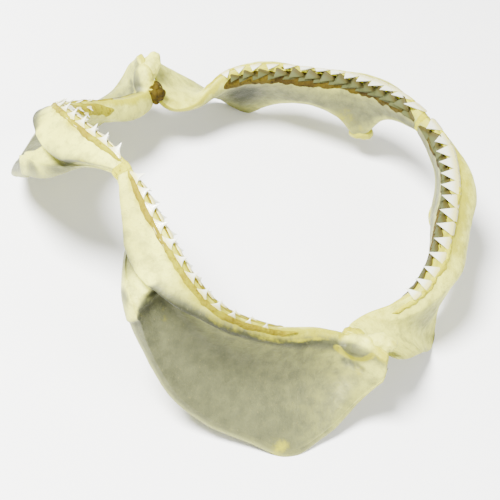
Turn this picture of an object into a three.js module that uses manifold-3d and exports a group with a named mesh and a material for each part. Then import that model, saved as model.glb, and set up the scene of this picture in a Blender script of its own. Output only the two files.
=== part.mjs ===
// The dried jaws of a requiem shark about two metres long, spread open as a museum shows them.
//
// Four cartilages make the ring of the mouth: two upper ones (the palatoquadrates) and two lower
// ones (Meckel's cartilages). The halves of each jaw meet in front at a seam of gristle, and the
// upper and lower cartilage of each side meet behind, at a ball and socket. The open jaws rest on
// the hind corners of all four cartilages, like a book laid face down, with both tooth rows rising.
//
// Millimetres, +Z up, +X to the animal's left, +Y towards the front of the upper jaw.
import * as THREE from "three";
import { mergeVertices } from "three/addons/utils/BufferGeometryUtils.js";
import Module from "manifold-3d";

const wasm = await Module();
wasm.setup();

// ---- driving sizes ----

const JOINT_SPAN = 280; // between the middles of the two jaw joints; the stations below are in spans
const UPPER_PITCH = THREE.MathUtils.degToRad(17.5); // how steeply the upper tooth row rises
const LOWER_PITCH = THREE.MathUtils.degToRad(36.6); // and the lower one, towards the other side
const JOINT_AXIS = { back: -11.24, height: 50.8 }; // where the line through both jaw joints lies
const GAP = 0.35; // left between pieces that touch
const SECTIONS = 20; // cross-sections along one cartilage
const FACETS_PER_POINT = 2; // facets between two named points of a cross-section

const FINISHES = {
  cartilage: { color: 0xd9d5b4, roughness: 0.6, metalness: 0 },
  gristle: { color: 0xb9a85a, roughness: 0.45, metalness: 0 },
};

// ---- stations of the lower cartilage, from the seam back to the hind end ----
// crest and keel are points [side, ahead, deep]: side is out from the middle, ahead is from the
// joints towards the seam, deep is away from the mouth's opening. The rest are sizes of the
// cross-section there: bar, the height of the tooth-bearing bar, and bulge, how far it stands
// out; fossa, how far the muscle hollow stands out (negative: sinks in), rim, the same of the ridge
// that bounds it, and reach, the ridge's place on the way to the keel; edge, the keel's thickness;
// wall, the thickness behind the hollow; lip, the thickness on the tongue side of the teeth.

const LOWER = [
  { crest: [0.012, 0.574, 0.0], keel: [0.012, 0.583, 0.042], bar: 0.035, bulge: 0.008, fossa: 0.004,
    rim: 0, reach: 0.9, edge: 0.012, wall: 0.03, lip: 0.02 },
  { crest: [0.08, 0.586, 0.012], keel: [0.065, 0.568, 0.07], bar: 0.06, bulge: 0.022, fossa: 0.012,
    rim: 0.004, reach: 0.9, edge: 0.02, wall: 0.04, lip: 0.036 },
  { crest: [0.16, 0.58, 0.03], keel: [0.12, 0.545, 0.118], bar: 0.09, bulge: 0.038, fossa: 0.012,
    rim: 0.01, reach: 0.8, edge: 0.03, wall: 0.045, lip: 0.046 },
  { crest: [0.24, 0.563, 0.048], keel: [0.18, 0.52, 0.205], bar: 0.102, bulge: 0.04, fossa: -0.01,
    rim: 0.03, reach: 0.6, edge: 0.05, wall: 0.05, lip: 0.052 },
  { crest: [0.312, 0.525, 0.068], keel: [0.24, 0.512, 0.252], bar: 0.068, bulge: 0.046, fossa: -0.04,
    rim: 0.026, reach: 0.7, edge: 0.052, wall: 0.045, lip: 0.054 },
  { crest: [0.37, 0.458, 0.086], keel: [0.312, 0.46, 0.3], bar: 0.04, bulge: 0.027, fossa: -0.048,
    rim: 0.01, reach: 0.88, edge: 0.034, wall: 0.04, lip: 0.054 },
  { crest: [0.405, 0.365, 0.088], keel: [0.412, 0.362, 0.353], bar: 0.033, bulge: 0.018, fossa: -0.046,
    rim: 0.004, reach: 0.93, edge: 0.022, wall: 0.034, lip: 0.052 },
  { crest: [0.432, 0.27, 0.072], keel: [0.498, 0.266, 0.358], bar: 0.033, bulge: 0.016, fossa: -0.042,
    rim: 0.002, reach: 0.93, edge: 0.02, wall: 0.03, lip: 0.052 },
  { crest: [0.445, 0.18, 0.05], keel: [0.582, 0.18, 0.326], bar: 0.04, bulge: 0.016, fossa: -0.036,
    rim: 0, reach: 0.93, edge: 0.018, wall: 0.026, lip: 0.054 },
  { crest: [0.455, 0.1, 0.022], keel: [0.648, 0.1, 0.297], bar: 0.04, bulge: 0.014, fossa: -0.03,
    rim: 0, reach: 0.93, edge: 0.018, wall: 0.024, lip: 0.058 },
  { crest: [0.49, 0.03, -0.008], keel: [0.645, 0.03, 0.215], bar: 0.04, bulge: 0.012, fossa: -0.02,
    rim: 0, reach: 0.93, edge: 0.016, wall: 0.022, lip: 0.05 },
  { crest: [0.548, 0.034, -0.042], keel: [0.625, -0.017, 0.118], bar: 0.03, bulge: 0.008, fossa: -0.006,
    rim: 0, reach: 0.93, edge: 0.014, wall: 0.018, lip: 0.03 },
  { crest: [0.604, 0.022, -0.052], keel: [0.634, -0.011, 0.008], bar: 0.02, bulge: 0.004, fossa: 0,
    rim: 0, reach: 0.93, edge: 0.01, wall: 0.01, lip: 0.012 },
];

// ---- stations of the upper cartilage, in the same way ----
// bulge is how far the lip face stands out and drop how far below the crest it does so; hollow is
// how far the face stands out halfway from there to the back edge. The back edge rises at the fourth
// station into the process that reached up to the skull.

const UPPER = [
  { crest: [0.007, 0.62, 0.032], keel: [0.007, 0.612, 0.1], bulge: 0.03, drop: 0.04,
    hollow: 0.02, edge: 0.02, wall: 0.022, lip: 0.026 },
  { crest: [0.093, 0.609, 0.034], keel: [0.08, 0.604, 0.126], bulge: 0.046, drop: 0.05,
    hollow: 0.03, edge: 0.022, wall: 0.022, lip: 0.026 },
  { crest: [0.16, 0.583, 0.034], keel: [0.142, 0.592, 0.172], bulge: 0.07, drop: 0.07,
    hollow: 0.036, edge: 0.024, wall: 0.022, lip: 0.026 },
  { crest: [0.219, 0.547, 0.034], keel: [0.194, 0.55, 0.268], bulge: 0.084, drop: 0.084,
    hollow: 0.04, edge: 0.03, wall: 0.024, lip: 0.027 },
  { crest: [0.278, 0.5, 0.034], keel: [0.245, 0.488, 0.19], bulge: 0.087, drop: 0.088,
    hollow: 0.05, edge: 0.022, wall: 0.024, lip: 0.028 },
  { crest: [0.334, 0.442, 0.034], keel: [0.305, 0.438, 0.165], bulge: 0.084, drop: 0.087,
    hollow: 0.05, edge: 0.02, wall: 0.024, lip: 0.03 },
  { crest: [0.389, 0.376, 0.034], keel: [0.37, 0.392, 0.185], bulge: 0.073, drop: 0.077,
    hollow: 0.04, edge: 0.018, wall: 0.024, lip: 0.03 },
  { crest: [0.434, 0.304, 0.035], keel: [0.43, 0.355, 0.235], bulge: 0.052, drop: 0.058,
    hollow: 0.026, edge: 0.018, wall: 0.022, lip: 0.03 },
  { crest: [0.456, 0.232, 0.038], keel: [0.492, 0.305, 0.295], bulge: 0.036, drop: 0.055,
    hollow: 0.008, edge: 0.018, wall: 0.022, lip: 0.03 },
  { crest: [0.448, 0.165, 0.052], keel: [0.543, 0.248, 0.245], bulge: 0.02, drop: 0.05,
    hollow: 0, edge: 0.016, wall: 0.022, lip: 0.026 },
  { crest: [0.43, 0.1, 0.06], keel: [0.572, 0.185, 0.15], bulge: 0.012, drop: 0.04,
    hollow: -0.002, edge: 0.014, wall: 0.022, lip: 0.024 },
  { crest: [0.436, 0.04, 0.046], keel: [0.598, 0.115, 0.062], bulge: 0.008, drop: 0.03,
    hollow: -0.002, edge: 0.012, wall: 0.02, lip: 0.026 },
  { crest: [0.465, 0.012, 0.02], keel: [0.611, 0.066, -0.005], bulge: 0.004, drop: 0.02,
    hollow: 0, edge: 0.01, wall: 0.012, lip: 0.02 },
];

// The ridge in front of the muscle hollow runs obliquely down the lower cartilage: from top, under
// the bar, to bottom, at the rim. Ahead of it, from fade on, the face keeps a shallow furrow under the
// bar and then stands out at the rim; behind it, it drops into the hollow within step.
const RIDGE = { top: 0.3, bottom: 0.355, step: 0.014, fade: [0.2, 0.285], furrow: 0.008, rim: 0.036 };

// ---- teeth, in millimetres ----

const UPPER_TEETH = {
  perSide: 14, first: 0.035, last: 0.665, width: 13.2, height: 13.5, thick: 4.4, lean: 4.4,
  waist: 0.56, shoulder: 0.46, inward: 58, outset: 0.6, smallest: 0.55,
};
const LOWER_TEETH = {
  perSide: 12, first: 0.046, last: 0.57, width: 12, height: 8.6, thick: 3.6, lean: 1.6,
  waist: 0.3, shoulder: 0.4, inward: 24, outset: 0.4, smallest: 0.5,
};
const TOOTH_SINK = 4.5; // how deep a tooth's base is set in the crest

// ---- jaw joint ----

// The ball, and the dried capsule beside it, are eggs whose long way runs along. Places and ways
// are in spans, in the upper jaw's own directions, radii in millimetres.
const BALL = { at: [0.5, 0.004, 0], radii: [8.4, 8.4, 8.4], along: [1, 0, 0] };
const CAPSULE = { at: [0.561, 0.0395, -0.03], radii: [6.8, 6.8, 13], along: [0.046, 0.0505, -0.018] };
const BALL_FACETS = { around: 9, high: 6 };

// The end of the process that reached up to the skull, a blunt knob on the upper cartilage's back
// edge, is such an egg too.
const KNOB = { at: [0.187, 0.543, 0.257], radii: [4.6, 4.6, 11.5], along: [-0.103, 0.104, -0.018] };

// ---- floor ----

const FLOOR_BLOCK = { wide: 600, deep: 60 }; // all that reaches below floor level is cut with this

// ---- helpers ----

// The value of a smooth curve through evenly spaced values, at f of the way from b to c.
function cubic(a, b, c, d, f) {
  return b + 0.5 * f * (c - a + f * (2 * a - 5 * b + 4 * c - d + f * (3 * (b - c) + d - a)));
}

// The station at t, from 0 at the seam to 1 at the hind end, with every number blended smoothly.
function stationAt(stations, t) {
  const last = stations.length - 1;
  const place = THREE.MathUtils.clamp(t, 0, 1) * last;
  const i = Math.min(Math.floor(place), last - 1);
  const near = [i - 1, i, i + 1, i + 2].map((k) => stations[THREE.MathUtils.clamp(k, 0, last)]);
  const blend = (read) => cubic(...near.map(read), place - i);
  const made = {};
  for (const key of Object.keys(stations[0])) {
    made[key] = Array.isArray(stations[0][key])
      ? new THREE.Vector3(...[0, 1, 2].map((axis) => blend((s) => s[key][axis])))
      : blend((s) => s[key]);
  }
  return made;
}

// From a jaw's own [side, ahead, deep], in spans, to the part's frame.
function placed(jaw, point) {
  const pitch = jaw === "upper" ? UPPER_PITCH : LOWER_PITCH;
  const way = jaw === "upper" ? 1 : -1;
  const ahead = point.y * Math.cos(pitch) + point.z * Math.sin(pitch);
  const up = point.y * Math.sin(pitch) - point.z * Math.cos(pitch);
  const made = new THREE.Vector3(point.x, way * ahead, up).multiplyScalar(JOINT_SPAN);
  return made.add(new THREE.Vector3(0, JOINT_AXIS.back, JOINT_AXIS.height));
}

// How full the face is at t, share of the way from the bar to the rim: 1 ahead of the ridge, 0 behind.
function fullness(t, share) {
  const ridge = THREE.MathUtils.lerp(RIDGE.top, RIDGE.bottom, share);
  const ahead = 1 - THREE.MathUtils.smoothstep(t, ridge - 0.5 * RIDGE.step, ridge + 0.5 * RIDGE.step);
  return ahead * THREE.MathUtils.smoothstep(t, ...RIDGE.fade);
}

// A cross-section is a list of [down, out] from the crest: down towards the keel, out to the lips.
function lowerSection(s, length, t) {
  const bar = Math.min(s.bar, 0.8 * length);
  const rest = length - bar;
  const reach = s.reach * rest;
  const face = (share, hollow, full) => THREE.MathUtils.lerp(hollow, full, fullness(t, share));
  const rim = face(1, s.rim, RIDGE.rim);
  return [
    [0, 0],
    [0.25 * bar, 0.3 * s.bulge],
    [0.6 * bar, 0.72 * s.bulge],
    [0.92 * bar, s.bulge],
    [bar + 0.1 * reach, 0.6 * s.bulge + 0.4 * face(0.1, s.fossa, RIDGE.furrow)],
    [bar + 0.38 * reach, face(0.38, s.fossa, RIDGE.furrow)],
    [bar + 0.75 * reach, face(0.75, 0.5 * (s.fossa + s.rim), 0.8 * RIDGE.rim)],
    [bar + reach, rim],
    [length, rim - 0.5 * s.edge],
    [length - 0.03, rim - s.edge - 0.004],
    [bar + 0.5 * rest, s.fossa - s.wall],
    [bar + 0.15 * rest, -0.5 * (s.lip + s.wall)],
    [0.55 * bar, -s.lip],
    [0.2 * bar, -0.85 * s.lip],
    [-0.002, -0.35 * s.lip],
  ];
}

function upperSection(s, length) {
  const drop = Math.min(s.drop, 0.62 * length);
  const rest = length - drop;
  return [
    [0, 0],
    [0.25 * drop, 0.38 * s.bulge],
    [0.65 * drop, 0.86 * s.bulge],
    [drop, s.bulge],
    [drop + 0.25 * rest, 0.72 * s.bulge + 0.28 * s.hollow],
    [drop + 0.6 * rest, s.hollow],
    [length - 0.012, 0.3 * s.hollow],
    [length, -0.45 * s.edge],
    [length - 0.015, -s.edge],
    [drop + 0.5 * rest, -s.wall],
    [drop + 0.1 * rest, -0.5 * (s.wall + s.lip)],
    [0.6 * drop, -s.lip],
    [0.26 * drop, -0.66 * s.lip],
    [0.03 * drop, -0.24 * s.lip],
  ];
}

// The closed smooth outline through a cross-section's points, as facets.
function smoothLoop(points, perPoint) {
  const made = [];
  const count = points.length;
  for (let i = 0; i < count; i++) {
    const near = [i - 1, i, i + 1, i + 2].map((k) => points[(k + count) % count]);
    for (let step = 0; step < perPoint; step++) {
      made.push([0, 1].map((axis) => cubic(...near.map((p) => p[axis]), step / perPoint)));
    }
  }
  return made;
}

// Directions at t: back along the crest, down to the keel and out to the lips, in jaw coordinates.
function directionsAt(stations, t) {
  const step = 0.01;
  const here = stationAt(stations, t);
  const back = stationAt(stations, t + step).crest.sub(stationAt(stations, t - step).crest).normalize();
  const down = here.keel.clone().sub(here.crest);
  const length = down.length();
  down.divideScalar(length);
  const out = new THREE.Vector3().crossVectors(down, back).normalize();
  return { here, back, down, out, length };
}

// A manifold solid from points and faces, whichever way round they were wound.
function solidFrom(points, faces) {
  const geometry = new THREE.BufferGeometry().setFromPoints(points);
  geometry.setIndex(faces.flat());
  const merged = mergeVertices(geometry, 1e-4);
  const position = merged.attributes.position;
  const triangles = new Uint32Array(merged.index.array);
  const at = (i) => new THREE.Vector3().fromBufferAttribute(position, i);
  let volume = 0;
  for (let i = 0; i < triangles.length; i += 3) {
    volume += at(triangles[i]).dot(at(triangles[i + 1]).cross(at(triangles[i + 2])));
  }
  if (volume < 0) {
    triangles.reverse();
  }
  return new wasm.Manifold(
    new wasm.Mesh({ numProp: 3, vertProperties: position.array, triVerts: triangles })
  );
}

// A closed body through rings of equal size, with a flat fan over each end.
function loft(rings) {
  const size = rings[0].length;
  const points = rings.flat();
  const faces = [];
  for (let i = 0; i < rings.length - 1; i++) {
    for (let j = 0; j < size; j++) {
      const a = i * size + j;
      const b = i * size + ((j + 1) % size);
      faces.push([a, b, b + size], [a, b + size, a + size]);
    }
  }
  for (const end of [0, rings.length - 1]) {
    const middle = rings[end].reduce((sum, p) => sum.add(p), new THREE.Vector3()).divideScalar(size);
    points.push(middle);
    for (let j = 0; j < size; j++) {
      const face = [points.length - 1, end * size + ((j + 1) % size), end * size + j];
      faces.push(end === 0 ? face : face.reverse());
    }
  }
  return solidFrom(points, faces);
}

// Mirrors a point to the chosen side: +1 is the animal's left, -1 its right.
function sided(point, side) {
  return new THREE.Vector3(point.x * side, point.y, point.z);
}

// ---- cartilages ----

function cartilage(jaw, side) {
  const stations = jaw === "upper" ? UPPER : LOWER;
  const section = jaw === "upper" ? upperSection : lowerSection;
  const seam = stations[0].crest[0];
  const rings = [];
  for (let i = 0; i < SECTIONS; i++) {
    const t = i / (SECTIONS - 1);
    const { here, down, out, length } = directionsAt(stations, t);
    const loop = smoothLoop(section(here, length, t), FACETS_PER_POINT);
    rings.push(
      loop.map(([deep, outward]) => {
        const point = here.crest.clone().addScaledVector(down, deep).addScaledVector(out, outward);
        point.x = i === 0 ? seam : Math.max(point.x, seam);
        return sided(placed(jaw, point), side);
      })
    );
  }
  return loft(rings);
}

// ---- teeth ----

// One tooth: a flat four-sided blade with a broad base, a shoulder and a tip that leans back.
function tooth(jaw, side, kind, index) {
  const stations = jaw === "upper" ? UPPER : LOWER;
  const row = index / (kind.perSide - 1);
  const t = THREE.MathUtils.lerp(kind.first, kind.last, row);
  const size = THREE.MathUtils.lerp(1, kind.smallest, row ** 2.2);
  const { here, back, out } = directionsAt(stations, t);
  const tilt = THREE.MathUtils.degToRad(kind.inward);
  const rise = new THREE.Vector3(0, 0, -1).multiplyScalar(Math.cos(tilt)).addScaledVector(out, -Math.sin(tilt));
  rise.addScaledVector(back, -rise.dot(back)).normalize();
  const face = new THREE.Vector3().crossVectors(back, rise).normalize();
  const mm = 1 / JOINT_SPAN;
  const ring = (up, wide, thick, shift) => {
    const points = [];
    for (let corner = 0; corner < 4; corner++) {
      const angle = (corner / 4) * 2 * Math.PI;
      const point = here.crest.clone();
      point.addScaledVector(out, kind.outset * mm);
      point.addScaledVector(rise, up * mm);
      point.addScaledVector(back, (shift + 0.5 * wide * Math.cos(angle)) * mm);
      point.addScaledVector(face, 0.5 * thick * Math.sin(angle) * mm);
      points.push(sided(placed(jaw, point), side));
    }
    return points;
  };
  const wide = kind.width * size;
  const high = kind.height * size;
  const thick = kind.thick * size;
  return loft([
    ring(-TOOTH_SINK, 1.2 * wide, thick, 0),
    ring(kind.shoulder * high, kind.waist * wide, 0.7 * thick, 0.4 * kind.lean * size),
    ring(high, 0.05 * wide, 0.12 * thick, kind.lean * size),
  ]);
}

function withTeeth(body, jaw, side) {
  const kind = jaw === "upper" ? UPPER_TEETH : LOWER_TEETH;
  let made = body;
  for (let index = 0; index < kind.perSide; index++) {
    made = made.add(tooth(jaw, side, kind, index));
  }
  return made;
}

// ---- seam gristle and jaw joints ----

// The pad of gristle between two halves: the first cross-section, a little larger, on both sides.
function seamPad(jaw) {
  const stations = jaw === "upper" ? UPPER : LOWER;
  const section = jaw === "upper" ? upperSection : lowerSection;
  const { here, down, out, length } = directionsAt(stations, 0);
  const half = here.crest.x * JOINT_SPAN - GAP;
  const loop = smoothLoop(section(here, length, 0), 1);
  const rings = [-half, half].map((x) =>
    loop.map(([deep, outward]) => {
      const point = here.crest.clone().addScaledVector(down, deep).addScaledVector(out, outward);
      const made = placed(jaw, point);
      made.x = x;
      return made;
    })
  );
  return loft(rings);
}

// A closed three.js geometry as a solid.
function solidFromGeometry(geometry) {
  geometry.deleteAttribute("normal");
  geometry.deleteAttribute("uv");
  const merged = mergeVertices(geometry, 1e-4);
  const mesh = new wasm.Mesh({
    numProp: 3,
    vertProperties: merged.attributes.position.array,
    triVerts: new Uint32Array(merged.index.array),
  });
  return new wasm.Manifold(mesh);
}

// A ball, a capsule or a knob on one side, grown by extra to cut its hollow.
function lump(kind, side, extra) {
  const at = new THREE.Vector3(...kind.at);
  const centre = sided(placed("upper", at), side);
  const way = sided(placed("upper", at.add(new THREE.Vector3(...kind.along))), side).sub(centre).normalize();
  const geometry = new THREE.SphereGeometry(1, BALL_FACETS.around, BALL_FACETS.high);
  geometry.scale(...kind.radii.map((radius) => radius + extra));
  geometry.applyQuaternion(new THREE.Quaternion().setFromUnitVectors(new THREE.Vector3(0, 0, 1), way));
  geometry.translate(centre.x, centre.y, centre.z);
  return solidFromGeometry(geometry);
}

// ---- the part ----

function toMesh(name, solid, finish) {
  const made = solid.getMesh();
  const geometry = new THREE.BufferGeometry();
  geometry.setAttribute("position", new THREE.BufferAttribute(made.vertProperties, 3));
  geometry.setIndex(new THREE.BufferAttribute(made.triVerts, 1));
  const mesh = new THREE.Mesh(geometry, new THREE.MeshStandardMaterial(finish));
  mesh.name = name;
  return mesh;
}

const solids = {
  upper_seam: seamPad("upper"),
  lower_seam: seamPad("lower"),
};
for (const [name, side] of Object.entries({ left: 1, right: -1 })) {
  const hollow = lump(CAPSULE, side, GAP);
  const whole = cartilage("upper", side).add(lump(KNOB, side, 0)).add(lump(BALL, side, 0));
  const upper = whole.subtract(hollow);
  const lower = cartilage("lower", side).subtract(lump(BALL, side, GAP)).subtract(hollow);
  solids[`upper_jaw_${name}`] = withTeeth(upper, "upper", side);
  solids[`lower_jaw_${name}`] = withTeeth(lower, "lower", side);
  solids[`joint_capsule_${name}`] = lump(CAPSULE, side, 0);
}

// The corners that the jaws rest on are worn flat at floor level.
function onFloor(solid) {
  const below = new THREE.BoxGeometry(FLOOR_BLOCK.wide, FLOOR_BLOCK.wide, FLOOR_BLOCK.deep);
  below.translate(0, 0, -0.5 * FLOOR_BLOCK.deep);
  return solid.subtract(solidFromGeometry(below));
}

const part = new THREE.Group();
for (const [name, solid] of Object.entries(solids)) {
  const finish = name.includes("_jaw_") ? FINISHES.cartilage : FINISHES.gristle;
  part.add(toMesh(name, onFloor(solid), finish));
}

export default part;
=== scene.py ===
# %% [markdown]
# # The dried jaws of a shark
#
# A shark's jaws are not bone. They are four pieces of cartilage: two upper ones, which carry the
# broad cutting teeth, and two lower ones, which carry the narrow holding teeth. Cleaned, spread and
# dried, they turn cream and a little translucent, and the gum along the teeth turns the colour of
# mustard. This lesson dresses plain solids of the jaws with a modelled surface. The solids stay
# where they are, so this first step loads them and keeps the box that nothing may outgrow.

# %% Load the fixed frame
import itertools
import math
import bpy
import numpy as np
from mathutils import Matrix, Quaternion, Vector


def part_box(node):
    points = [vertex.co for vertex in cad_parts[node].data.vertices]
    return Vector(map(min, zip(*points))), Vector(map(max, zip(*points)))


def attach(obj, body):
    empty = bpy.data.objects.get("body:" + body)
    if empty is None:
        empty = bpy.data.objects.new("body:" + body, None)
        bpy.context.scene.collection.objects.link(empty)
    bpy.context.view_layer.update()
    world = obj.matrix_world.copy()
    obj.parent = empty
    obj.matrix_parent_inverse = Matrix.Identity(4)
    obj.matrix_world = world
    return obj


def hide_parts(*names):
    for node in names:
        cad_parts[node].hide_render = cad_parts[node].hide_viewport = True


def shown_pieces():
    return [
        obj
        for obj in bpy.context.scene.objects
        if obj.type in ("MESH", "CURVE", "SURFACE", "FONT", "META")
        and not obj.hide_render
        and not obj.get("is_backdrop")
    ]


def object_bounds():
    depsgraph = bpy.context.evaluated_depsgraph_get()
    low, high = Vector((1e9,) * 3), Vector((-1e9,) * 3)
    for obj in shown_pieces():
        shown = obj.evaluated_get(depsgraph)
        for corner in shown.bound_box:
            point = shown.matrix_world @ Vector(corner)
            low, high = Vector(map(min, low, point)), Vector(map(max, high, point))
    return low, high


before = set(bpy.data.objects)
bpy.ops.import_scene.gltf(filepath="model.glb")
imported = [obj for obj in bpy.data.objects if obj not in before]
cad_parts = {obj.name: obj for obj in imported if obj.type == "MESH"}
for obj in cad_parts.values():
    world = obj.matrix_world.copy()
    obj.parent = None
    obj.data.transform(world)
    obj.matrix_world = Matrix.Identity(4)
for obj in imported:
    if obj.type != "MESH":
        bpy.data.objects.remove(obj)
cad_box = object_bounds()
MM = 0.001
BODY = "root"
SIDES = {"left": 1, "right": -1}
JAWS = ("upper", "lower")


def rounded(box):
    return [tuple(round(v, 4) for v in corner) for corner in box]


print("nodes", sorted(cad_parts), "box", rounded(cad_box))

# %% [markdown]
# ## The camera
#
# It could be placed by eye, but a view is better written down once: where the camera stands, the
# point it looks at, and how far it leans. A long lens keeps the near and the far side of the jaws at
# nearly the same scale, as in a catalogue picture.

# %% Place the camera
CAMERA_PLACE = Vector((0.5190, -0.59757, 0.8092))
CAMERA_TARGET = Vector((0.02905, -0.02462, 0.03858))
CAMERA_LEAN = math.radians(20.03)
CAMERA_LENS = 101.85
SENSOR_WIDTH = 36.0

camera = bpy.data.objects.new("camera", bpy.data.cameras.new("camera"))
bpy.context.scene.collection.objects.link(camera)
bpy.context.scene.camera = camera
camera.data.lens = CAMERA_LENS
camera.data.sensor_width = SENSOR_WIDTH
camera.location = CAMERA_PLACE
camera.rotation_mode = "QUATERNION"
looking = (CAMERA_TARGET - CAMERA_PLACE).to_track_quat("-Z", "Y")
camera.rotation_quaternion = looking @ Quaternion((0, 0, 1), CAMERA_LEAN)
print("camera stands", round((CAMERA_TARGET - CAMERA_PLACE).length, 3), "m from what it looks at")

# %% [markdown]
# ## The driving sizes
#
# Each cartilage is a long bent plate: thick along the teeth, thin at its lower edge. It could be
# sculpted, but a plate that is described by cross-sections keeps its two halves exactly alike and
# lets every later step ask where the crest, the muscle hollow or the edge is. A station gives the
# crest and the keel as points (side, ahead, deep), in spans between the two jaw joints, and the
# thicknesses of the section there. Side is out from the middle, ahead is from the joints towards
# the seam, and deep is away from the opening of the mouth. In front of the muscle hollow the lower
# jaw stays full as far as an oblique ridge, so the ridge has sizes of its own.

# %% Write down the stations of the four cartilages
JOINT_SPAN = 0.280
PITCH = {"upper": math.radians(17.5), "lower": math.radians(36.6)}
JOINT_AXIS = np.array([0.0, -0.01124, 0.0508])

LOWER_SIZES = ("bar", "bulge", "fossa", "rim", "reach", "edge", "wall", "lip")
LOWER = [
    ((0.012, 0.574, 0.0), (0.012, 0.583, 0.042), (0.035, 0.008, 0.004, 0, 0.9, 0.012, 0.03, 0.02)),
    ((0.08, 0.586, 0.012), (0.065, 0.568, 0.07), (0.06, 0.022, 0.012, 0.004, 0.9, 0.02, 0.04, 0.036)),
    ((0.16, 0.58, 0.03), (0.12, 0.545, 0.118), (0.09, 0.038, 0.012, 0.01, 0.8, 0.03, 0.045, 0.046)),
    ((0.24, 0.563, 0.048), (0.18, 0.52, 0.205), (0.102, 0.04, -0.01, 0.03, 0.6, 0.05, 0.05, 0.052)),
    ((0.312, 0.525, 0.068), (0.24, 0.512, 0.252), (0.068, 0.046, -0.04, 0.026, 0.7, 0.052, 0.045, 0.054)),
    ((0.37, 0.458, 0.086), (0.312, 0.46, 0.3), (0.04, 0.027, -0.048, 0.01, 0.88, 0.034, 0.04, 0.054)),
    ((0.405, 0.365, 0.088), (0.412, 0.362, 0.353), (0.033, 0.018, -0.046, 0.004, 0.93, 0.022, 0.034, 0.052)),
    ((0.432, 0.27, 0.072), (0.498, 0.266, 0.358), (0.033, 0.016, -0.042, 0.002, 0.93, 0.02, 0.03, 0.052)),
    ((0.445, 0.18, 0.05), (0.582, 0.18, 0.326), (0.04, 0.016, -0.036, 0, 0.93, 0.018, 0.026, 0.054)),
    ((0.455, 0.1, 0.022), (0.648, 0.1, 0.297), (0.04, 0.014, -0.03, 0, 0.93, 0.018, 0.024, 0.058)),
    ((0.49, 0.03, -0.008), (0.645, 0.03, 0.215), (0.04, 0.012, -0.02, 0, 0.93, 0.016, 0.022, 0.05)),
    ((0.548, 0.034, -0.042), (0.625, -0.017, 0.118), (0.03, 0.008, -0.006, 0, 0.93, 0.014, 0.018, 0.03)),
    ((0.604, 0.022, -0.052), (0.634, -0.011, 0.008), (0.02, 0.004, 0, 0, 0.93, 0.01, 0.01, 0.012)),
]
UPPER_SIZES = ("bulge", "drop", "hollow", "edge", "wall", "lip")
UPPER = [
    ((0.007, 0.62, 0.032), (0.007, 0.612, 0.1), (0.03, 0.04, 0.02, 0.02, 0.022, 0.026)),
    ((0.093, 0.609, 0.034), (0.08, 0.604, 0.126), (0.046, 0.05, 0.03, 0.022, 0.022, 0.026)),
    ((0.16, 0.583, 0.034), (0.142, 0.592, 0.172), (0.07, 0.07, 0.036, 0.024, 0.022, 0.026)),
    ((0.219, 0.547, 0.034), (0.194, 0.55, 0.268), (0.084, 0.084, 0.04, 0.03, 0.024, 0.027)),
    ((0.278, 0.5, 0.034), (0.245, 0.488, 0.19), (0.087, 0.088, 0.05, 0.022, 0.024, 0.028)),
    ((0.334, 0.442, 0.034), (0.305, 0.438, 0.165), (0.084, 0.087, 0.05, 0.02, 0.024, 0.03)),
    ((0.389, 0.376, 0.034), (0.37, 0.392, 0.185), (0.073, 0.077, 0.04, 0.018, 0.024, 0.03)),
    ((0.434, 0.304, 0.035), (0.43, 0.355, 0.235), (0.052, 0.058, 0.026, 0.018, 0.022, 0.03)),
    ((0.456, 0.232, 0.038), (0.492, 0.305, 0.295), (0.036, 0.055, 0.008, 0.018, 0.022, 0.03)),
    ((0.448, 0.165, 0.052), (0.543, 0.248, 0.245), (0.02, 0.05, 0, 0.016, 0.022, 0.026)),
    ((0.43, 0.1, 0.06), (0.572, 0.185, 0.15), (0.012, 0.04, -0.002, 0.014, 0.022, 0.024)),
    ((0.436, 0.04, 0.046), (0.598, 0.115, 0.062), (0.008, 0.03, -0.002, 0.012, 0.02, 0.026)),
    ((0.465, 0.012, 0.02), (0.611, 0.066, -0.005), (0.004, 0.02, 0, 0.01, 0.012, 0.02)),
]
STATIONS = {"upper": (UPPER, UPPER_SIZES), "lower": (LOWER, LOWER_SIZES)}
RIDGE = {
    "top": 0.3,
    "bottom": 0.355,
    "step": 0.014,
    "fade": (0.2, 0.285),
    "furrow": 0.008,
    "rim": 0.036,
}
print("stations", {jaw: len(rows) for jaw, (rows, names) in STATIONS.items()})

# %% [markdown]
# ## Reading the stations
#
# Between two stations every number follows one smooth curve, so a thousand sections cost no more
# thought than thirteen. The cubic below passes through each value it is given, which a Bezier
# handle or a subdivision surface would not do by itself.

# %% Blend the stations and turn their points into the frame
def cubic(a, b, c, d, f):
    return b + 0.5 * f * (c - a + f * (2 * a - 5 * b + 4 * c - d + f * (3 * (b - c) + d - a)))


def station_rows(jaw, t):
    """Crest points, keel points and named sizes at every t, from 0 at the seam to 1 behind."""
    rows, names = STATIONS[jaw]
    values = np.array([[*crest, *keel, *sizes] for crest, keel, sizes in rows])
    last = len(values) - 1
    place = np.clip(t, 0, 1) * last
    i = np.minimum(place.astype(int), last - 1)
    near = [values[np.clip(i + k, 0, last)] for k in (-1, 0, 1, 2)]
    made = cubic(*near, (place - i)[:, None])
    return made[:, :3], made[:, 3:6], {name: made[:, 6 + k] for k, name in enumerate(names)}


def turned(jaw, vectors):
    """From a jaw's own (side, ahead, deep) directions to the frame's."""
    cos, sin = math.cos(PITCH[jaw]), math.sin(PITCH[jaw])
    way = 1 if jaw == "upper" else -1
    side, ahead, deep = vectors[..., 0], vectors[..., 1], vectors[..., 2]
    return np.stack([side, way * (ahead * cos + deep * sin), ahead * sin - deep * cos], axis=-1)


def placed(jaw, points):
    return turned(jaw, points) * JOINT_SPAN + JOINT_AXIS


def unit(vectors):
    return vectors / np.maximum(np.linalg.norm(vectors, axis=-1, keepdims=True), 1e-12)


STEP = 0.01


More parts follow.
